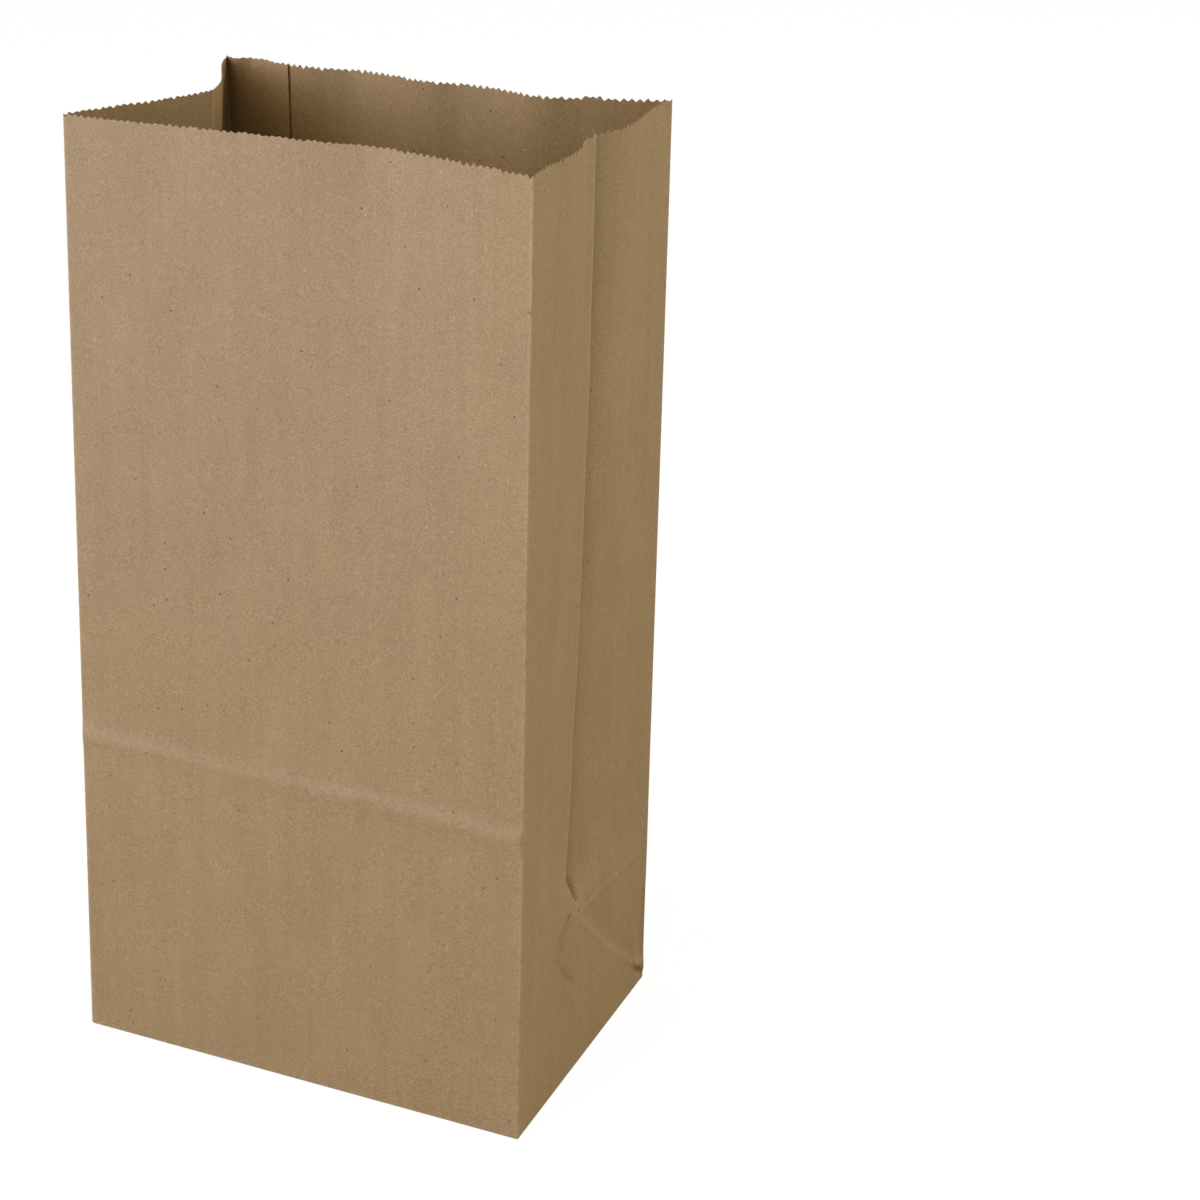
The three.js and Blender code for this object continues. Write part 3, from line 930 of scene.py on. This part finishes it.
@dataclass
class FloorFlap:
    """A gusset's own flap, which lies on the base inside the bag.

    Its sign is 1 on the right and -1 on the left, and its level is in paper thicknesses.
    """

    sizes: SheetSizes
    sign: int
    level: float
    name: str
    clear: float = 0.9
    curl: float = 0.25

    def build(self) -> bpy.types.Object:
        """Makes the flap as a grid that lies flat with a faint curl at its free edge.

        Returns:
            The flap, in metres.
        """
        s = self.sizes
        bpy.ops.object.select_all(action="DESELECT")
        bpy.ops.mesh.primitive_grid_add(x_subdivisions=24, y_subdivisions=16, size=2.0)
        flap = bpy.context.object
        flap.name = flap.data.name = self.name
        co = read_points(flap)
        along = (co[:, 0] + 1) / 2
        x = s.width / 2 - self.clear - along * (s.flap_length - self.clear)
        y = co[:, 1] * (s.half_gusset - self.clear)
        lift = self.curl * smooth((along - 0.7) / 0.3) * (1.1 + np.sin(y / 9.0 + self.sign))
        co[:, 0] = self.sign * x
        co[:, 1] = y
        co[:, 2] = s.paper * self.level + lift
        write_points(flap, co * MM)
        bpy.ops.object.mode_set(mode="EDIT")
        bpy.ops.mesh.select_all(action="SELECT")
        bpy.ops.mesh.normals_make_consistent(inside=False)
        bpy.ops.object.mode_set(mode="OBJECT")
        thicken(flap, s.paper, centred=True)
        return flap


def read_points(thing: bpy.types.Object) -> np.ndarray:
    """Reads a mesh's points.

    Args:
        thing: The mesh's object.

    Returns:
        One row of x, y and z for each point.
    """
    co = np.empty(len(thing.data.vertices) * 3)
    thing.data.vertices.foreach_get("co", co)
    return co.reshape(-1, 3)


def write_points(thing: bpy.types.Object, co: np.ndarray) -> None:
    """Moves a mesh's points."""
    thing.data.vertices.foreach_set("co", co.ravel())
    thing.data.update()


def face_centres(thing: bpy.types.Object) -> np.ndarray:
    """Reads the middle of each face of a mesh.

    Args:
        thing: The mesh's object.

    Returns:
        One row of x, y and z for each face.
    """
    centres = np.empty(len(thing.data.polygons) * 3)
    thing.data.polygons.foreach_get("center", centres)
    return centres.reshape(-1, 3)


def select_faces(thing: bpy.types.Object, wanted: np.ndarray) -> None:
    """Selects only the wanted faces of a mesh, in object mode.

    Args:
        thing: The mesh's object.
        wanted: True for each face that is to be selected.
    """
    bpy.context.view_layer.objects.active = thing
    bpy.ops.object.mode_set(mode="EDIT")
    bpy.ops.mesh.select_mode(type="FACE")
    bpy.ops.mesh.select_all(action="DESELECT")
    bpy.ops.object.mode_set(mode="OBJECT")
    thing.data.polygons.foreach_set("select", wanted)


def divide_selected() -> None:
    """Divides the selected faces of the active mesh once each way."""
    bpy.ops.object.mode_set(mode="EDIT")
    bpy.ops.mesh.subdivide(number_cuts=1)
    bpy.ops.object.mode_set(mode="OBJECT")


def thicken(thing: bpy.types.Object, paper: float, centred: bool = False) -> None:
    """Gives a folded sheet the paper's thickness and smooth shading.

    Args:
        thing: The open sheet, with its faces pointing outwards.
        paper: The thickness in millimetres.
        centred: True if the thickness goes to both faces and not only inwards.
    """
    bpy.context.view_layer.objects.active = thing
    bpy.ops.object.modifier_add(type="SOLIDIFY")
    solid = thing.modifiers[-1]
    solid.thickness = paper * MM
    solid.offset = 0.0 if centred else -1.0
    solid.use_even_offset = True
    bpy.ops.object.modifier_apply(modifier=solid.name)
    thing.select_set(True)
    bpy.ops.object.shade_smooth_by_angle(angle=SMOOTH_ANGLE)


@dataclass(frozen=True)
class Value:
    """A shader socket that takes part in sums."""

    shader: "Shader"
    socket: Any

    def _with(self, operation: str, first: Any, second: Any) -> "Value":
        """Adds one Math node on two operands."""
        return self.shader.value("ShaderNodeMath", {"operation": operation}, {0: first, 1: second})

    def __add__(self, other: Any) -> "Value":
        """This socket plus another value."""
        return self._with("ADD", self, other)

    def __radd__(self, other: Any) -> "Value":
        """Another value plus this socket."""
        return self._with("ADD", other, self)

    def __sub__(self, other: Any) -> "Value":
        """This socket less another value."""
        return self._with("SUBTRACT", self, other)

    def __rsub__(self, other: Any) -> "Value":
        """Another value less this socket."""
        return self._with("SUBTRACT", other, self)

    def __mul__(self, other: Any) -> "Value":
        """This socket times another value."""
        return self._with("MULTIPLY", self, other)

    def __rmul__(self, other: Any) -> "Value":
        """Another value times this socket."""
        return self._with("MULTIPLY", other, self)

    def step(self, low: float, high: float) -> "Value":
        """A smooth step from 0 to 1.

        Args:
            low: Where it is still 0.
            high: Where it is 1.

        Returns:
            The step.
        """
        return self.shader.value(
            "ShaderNodeMapRange",
            {"interpolation_type": "SMOOTHSTEP"},
            {"Value": self, "From Min": low, "From Max": high},
        )


class Shader:
    """The nodes of a material or of the world, added by plain calls."""

    def __init__(self, owner: Any) -> None:
        """Empties the owner's nodes.

        Args:
            owner: A new material or world.
        """
        owner.use_nodes = True
        self.owner = owner
        self.tree = owner.node_tree
        self.tree.nodes.clear()

    def node(self, kind: str, settings: dict | None = None, inputs: dict | None = None) -> Any:
        """Adds a node.

        Args:
            kind: The node's type.
            settings: Its own settings, which are set first.
            inputs: Values or links for its sockets, by name or number.

        Returns:
            The new node.
        """
        node = self.tree.nodes.new(kind)
        for key, value in (settings or {}).items():
            setattr(node, key, value)
        for key, value in (inputs or {}).items():
            if isinstance(value, Value):
                self.tree.links.new(value.socket, node.inputs[key])
            else:
                node.inputs[key].default_value = value
        return node

    def value(self, kind: str, settings: dict, inputs: dict, output: int | str = 0) -> Value:
        """Adds a node and wraps one of its outputs, by name or number."""
        return Value(self, self.node(kind, settings, inputs).outputs[output])

    def place(self, stretch: tuple[float, float, float], turn: tuple = (0, 0, 0)) -> Value:
        """Object coordinates in metres, stretched and turned for one pattern.

        Args:
            stretch: The scale along each axis.
            turn: The turn about each axis, in radians.

        Returns:
            The coordinates.
        """
        at = self.value("ShaderNodeTexCoord", {}, {}, "Object")
        return self.value(
            "ShaderNodeMapping", {}, {"Vector": at, "Scale": stretch, "Rotation": turn}
        )

    def noise(self, at: Value, scale: float, detail: float = 2.0, rough: float = 0.5) -> Value:
        """Plain noise from 0 to 1.

        Args:
            at: Where it is read.
            scale: How fine it is.
            detail: How many finer layers it has.
            rough: How strong the finer layers are.

        Returns:
            The noise.
        """
        return self.value(
            "ShaderNodeTexNoise",
            {},
            {"Vector": at, "Scale": scale, "Detail": detail, "Roughness": rough},
        )

    def mix(self, share: Any, a: Any, b: Any, how: str = "MIX") -> Value:
        """Mixes two colours.

        Args:
            share: How much of the second colour is taken, kept within 0 and 1.
            a: The first colour.
            b: The second colour.
            how: The way of mixing.

        Returns:
            The mixed colour.
        """
        return self.value(
            "ShaderNodeMix",
            {"data_type": "RGBA", "blend_type": how, "clamp_factor": True},
            {0: share, 6: a, 7: b},
            2,
        )

    def finish(self, surface: Any, output: str = "ShaderNodeOutputMaterial") -> Any:
        """Ends the nodes with their surface."""
        self.node(output, {}, {"Surface": surface})
        return self.owner


def linear(red: int, green: int, blue: int) -> Colour:
    """A screen colour of 0 to 255 as the linear colour that shaders take."""
    parts = [((c / 255 + 0.055) / 1.055) ** 2.4 for c in (red, green, blue)]
    return parts[0], parts[1], parts[2], 1.0


@dataclass(frozen=True)
class Mottle:
    """One layer of the paper's unevenness in tone: how fine, how detailed and how strong it is."""

    fineness: float
    detail: float
    weight: float
    rough: float = 0.5

    def noise(self, sh: Shader, at: Value) -> Value:
        """The layer's noise, before its weight."""
        return sh.noise(at, self.fineness, self.detail, self.rough)


@dataclass(frozen=True)
class Specks:
    """One scatter of small round specks: how dense, large, rare and strong they are."""

    fineness: float
    reach: float
    rare: float
    strength: float
    tint: Colour

    def over(self, sh: Shader, plain: Value, colour: Value) -> Value:
        """Lays the specks over a colour.

        Args:
            sh: The material's nodes.
            plain: Object coordinates.
            colour: The colour under the specks.

        Returns:
            The colour with the specks on it.
        """
        cells = sh.node("ShaderNodeTexVoronoi", {}, {"Vector": plain, "Scale": self.fineness})
        near = Value(sh, cells.outputs["Distance"])
        lot = sh.value("ShaderNodeSeparateColor", {}, {0: Value(sh, cells.outputs["Color"])})
        speck = (1 - near.step(self.reach * 0.4, self.reach)) * lot.step(self.rare, self.rare + 0.04)
        return sh.mix(speck * self.strength, colour, self.tint)


@dataclass(frozen=True)
class KraftPaper:
    """Unbleached kraft paper: a matt brown with a fine mottle, fibres and dark specks, paler folds,
    and painted highlight and painted shade from the sheet's attribute.
    """

    name: str = "kraft_paper"
    body: Colour = linear(172, 143, 98)
    shade: Colour = linear(148, 116, 72)
    fibre: Colour = linear(200, 173, 130)
    # the tint that is multiplied in where the sheet's attribute paints shade
    painted_shade_tint: Colour = (0.42, 0.35, 0.24, 1.0)
    grain: Mottle = Mottle(2500.0, 3.0, 1.35, 0.65)
    mottle: Mottle = Mottle(420.0, 2.0, 0.12)
    cloud: Mottle = Mottle(45.0, 3.0, 0.15)
    streak: Mottle = Mottle(300.0, 2.0, 0.17)
    tone_from: float = 0.66
    tone_to: float = 1.13
    specks: tuple[Specks, ...] = (
        Specks(260.0, 0.11, 0.72, 0.85, linear(92, 63, 28)),
        Specks(640.0, 0.17, 0.78, 0.55, linear(92, 63, 28)),
        Specks(450.0, 0.12, 0.8, 0.6, linear(214, 192, 152)),
    )
    upright_strength: float = 0.45
    level_strength: float = 0.35
    painted_shade_strength: float = 0.9
    roughness: float = 0.6
    gloss: float = 0.6
    bump_strength: float = 0.35
    bump_height: float = 0.00006

    def fibres(self, sh: Shader, stretch: tuple, turn: tuple, fineness: float) -> Value:
        """One lay of pale fibres.

        Args:
            sh: The material's nodes.
            stretch: How the pattern is stretched along each axis.
            turn: How it is turned.
            fineness: How fine the fibres are.

        Returns:
            A mask, 1 on the fibres.
        """
        return sh.noise(sh.place(stretch, turn), fineness, 1.0).step(0.72, 0.80)

    def material(self) -> bpy.types.Material:
        """Builds the paper's nodes.

        Returns:
            The finished material.
        """
        sh = Shader(bpy.data.materials.new(self.name))
        plain = sh.place((1.0, 1.0, 1.0))
        upright = sh.place((1.0, 1.0, 0.06))
        grain, mottle = self.grain.noise(sh, plain), self.mottle.noise(sh, plain)
        cloud, streak = self.cloud.noise(sh, plain), self.streak.noise(sh, upright)
        tone = grain * self.grain.weight + mottle * self.mottle.weight
        tone = tone + cloud * self.cloud.weight + streak * self.streak.weight
        colour = sh.mix(tone.step(self.tone_from, self.tone_to), self.shade, self.body)
        upright_fibres = self.fibres(sh, (1.0, 1.0, 0.16), (0.5, 0.35, 0.0), 1900.0)
        level_fibres = self.fibres(sh, (0.2, 0.2, 1.0), (0.2, -0.4, 0.3), 1700.0)
        colour = sh.mix(upright_fibres * self.upright_strength, colour, self.fibre)
        colour = sh.mix(level_fibres * self.level_strength, colour, self.fibre)
        for scatter in self.specks:
            colour = scatter.over(sh, plain, colour)
        # the sheet's attribute: positive values pale the folds and paint highlight, negative values
        # paint shade
        pale_folds_and_painted_light = sh.value("ShaderNodeAttribute", {"attribute_name": "pale_folds_and_painted_light"}, {}, "Fac")
        colour = sh.mix(pale_folds_and_painted_light * (mottle.step(0.3, 0.6) * 0.5 + 0.4), colour, self.fibre)
        colour = sh.mix(pale_folds_and_painted_light * -self.painted_shade_strength, colour, self.painted_shade_tint, "MULTIPLY")
        relief = grain * 0.6 + mottle * 0.5 + upright_fibres * 0.25
        bump = sh.value(
            "ShaderNodeBump",
            {},
            {"Height": relief, "Strength": self.bump_strength, "Distance": self.bump_height},
        )
        surface = sh.value(
            "ShaderNodeBsdfPrincipled",
            {},
            {
                "Base Color": colour,
                "Roughness": self.roughness,
                "Specular IOR Level": self.gloss,
                "Normal": bump,
            },
        )
        return sh.finish(surface)


@dataclass(frozen=True)
class WhiteFloor:
    """A white studio floor that keeps the bag's soft shadow."""

    name: str = "white_floor"
    colour: Colour = (0.5, 0.5, 0.5, 1.0)
    white: float = 1.25
    share: float = 0.75

    def material(self) -> bpy.types.Material:
        """Builds the floor's nodes: pale paint, which the camera sees mostly as plain white.

        Returns:
            The finished material.
        """
        sh = Shader(bpy.data.materials.new(self.name))
        paint = sh.value("ShaderNodeBsdfDiffuse", {}, {"Color": self.colour})
        seen = sh.value("ShaderNodeLightPath", {}, {}, "Is Camera Ray")
        plain = sh.value("ShaderNodeEmission", {}, {"Strength": self.white})
        shown = {0: seen * self.share, 1: paint, 2: plain}
        return sh.finish(sh.value("ShaderNodeMixShader", {}, shown))


@dataclass(frozen=True)
class Lamp:
    """A square soft lamp that faces the middle of the bag.

    Its turn and rise are in degrees from the front, its power in watts and its sizes in metres.
    """

    name: str
    turn: float
    rise: float
    power: float
    tint: tuple[float, float, float]
    distance: float = 1.6
    size: float = 0.9
    aim: float = 0.13

    def hang(self) -> None:
        """Hangs the lamp."""
        data = bpy.data.lights.new(self.name, "AREA")
        data.shape, data.size, data.energy = "SQUARE", self.size, self.power
        data.color = self.tint
        way = outward(self.turn, self.rise)
        stand(self.name, data, Vector((0, 0, self.aim)) + way * self.distance, way)


@dataclass
class Studio:
    """The camera, the floor, the world and the lamps.

    The camera's distance and target are in millimetres and its angles in degrees.
    """

    azimuth: float = 25.25
    elevation: float = 23.13
    distance: float = 636.0
    focal_pixels: float = 2518.0
    target: tuple[float, float, float] = (27.0, 0.0, 125.2)
    centre_pixel: float = 460.0
    frame_pixels: float = 1200.0
    sensor: float = 36.0
    floor_reach: float = 4.0
    floor_drop: float = 0.0001
    fill: float = 0.36
    fill_tint: Colour = (1.0, 0.99, 0.96, 1.0)
    lamps: tuple[Lamp, ...] = (
        Lamp("key", -40.0, 20.0, 9.3, (0.99, 1.01, 1.15)),
        Lamp("side", 118.0, 20.0, 11.7, (1.0, 0.97, 0.83)),
        Lamp("high", -25.0, 45.0, 5.2, (1.02, 0.94, 0.72)),
        Lamp("low", -30.0, 5.0, 8.5, (0.89, 1.02, 1.5)),
    )

    def camera(self) -> None:
        """Stands the camera where it sees the bag as the photograph does."""
        data = bpy.data.cameras.new("camera")
        data.sensor_width = self.sensor
        data.lens = self.focal_pixels * self.sensor / self.frame_pixels
        data.shift_x = (self.frame_pixels / 2 - self.centre_pixel) / self.frame_pixels
        data.clip_start, data.clip_end = 0.01, 20.0
        way = outward(self.azimuth, self.elevation)
        at = (Vector(self.target) + way * self.distance) * MM
        bpy.context.scene.camera = stand("camera", data, at, way)

    def floor(self) -> None:
        """Lays the floor just under the bag."""
        bpy.ops.object.select_all(action="DESELECT")
        bpy.ops.mesh.primitive_plane_add(
            size=2 * self.floor_reach, location=(0, 0, -self.floor_drop)
        )
        floor = bpy.context.object
        floor.name = "floor"
        floor.data.materials.append(WhiteFloor().material())

    def world(self) -> None:
        """Sets the world: a soft fill on the bag, and plain white where the camera sees it."""
        world = bpy.data.worlds.new("studio")
        bpy.context.scene.world = world
        sh = Shader(world)
        seen = sh.value("ShaderNodeLightPath", {}, {}, "Is Camera Ray")
        fill = {"Color": self.fill_tint, "Strength": self.fill}
        white = {"Color": (1.0, 1.0, 1.0, 1.0), "Strength": 1.0}
        around = sh.value("ShaderNodeBackground", {}, fill)
        behind = sh.value("ShaderNodeBackground", {}, white)
        shown = sh.value("ShaderNodeMixShader", {}, {0: seen, 1: around, 2: behind})
        sh.finish(shown, "ShaderNodeOutputWorld")

    def build(self) -> None:
        """Makes the whole studio."""
        self.camera()
        self.floor()
        self.world()
        for lamp in self.lamps:
            lamp.hang()
        bpy.context.scene.view_settings.view_transform = "Standard"


@dataclass
class LunchBag:
    """The whole bag: the folded sheet and the two flaps that lie inside on its base."""

    sizes: SheetSizes

    def build(self) -> list[bpy.types.Object]:
        """Builds, dresses and places every piece of the bag.

        Returns:
            The sheet, the right flap and the left flap.
        """
        shape = OpenedShape(self.sizes)
        paper = KraftPaper().material()
        sheet = PaperSheet(self.sizes, shape, KnifeCut(self.sizes)).build()
        right = FloorFlap(self.sizes, 1, 4.9, "floor_flap_right").build()
        left = FloorFlap(self.sizes, -1, 5.1, "floor_flap_left").build()
        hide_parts("paper_bag")
        for piece in (sheet, right, left):
            piece.data.materials.clear()
            piece.data.materials.append(paper)
            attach(piece, "root")
            LOG.info("%s: %d faces", piece.name, len(piece.data.polygons))
        return [sheet, right, left]


def main() -> None:
    """Builds the studio and the bag."""
    logging.basicConfig(level=logging.INFO, format="%(message)s")
    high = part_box("paper_bag")[1].z
    Studio().build()
    LunchBag(SheetSizes(height=high / MM)).build()
    bpy.context.view_layer.update()


if __name__ == "__main__":
    main()
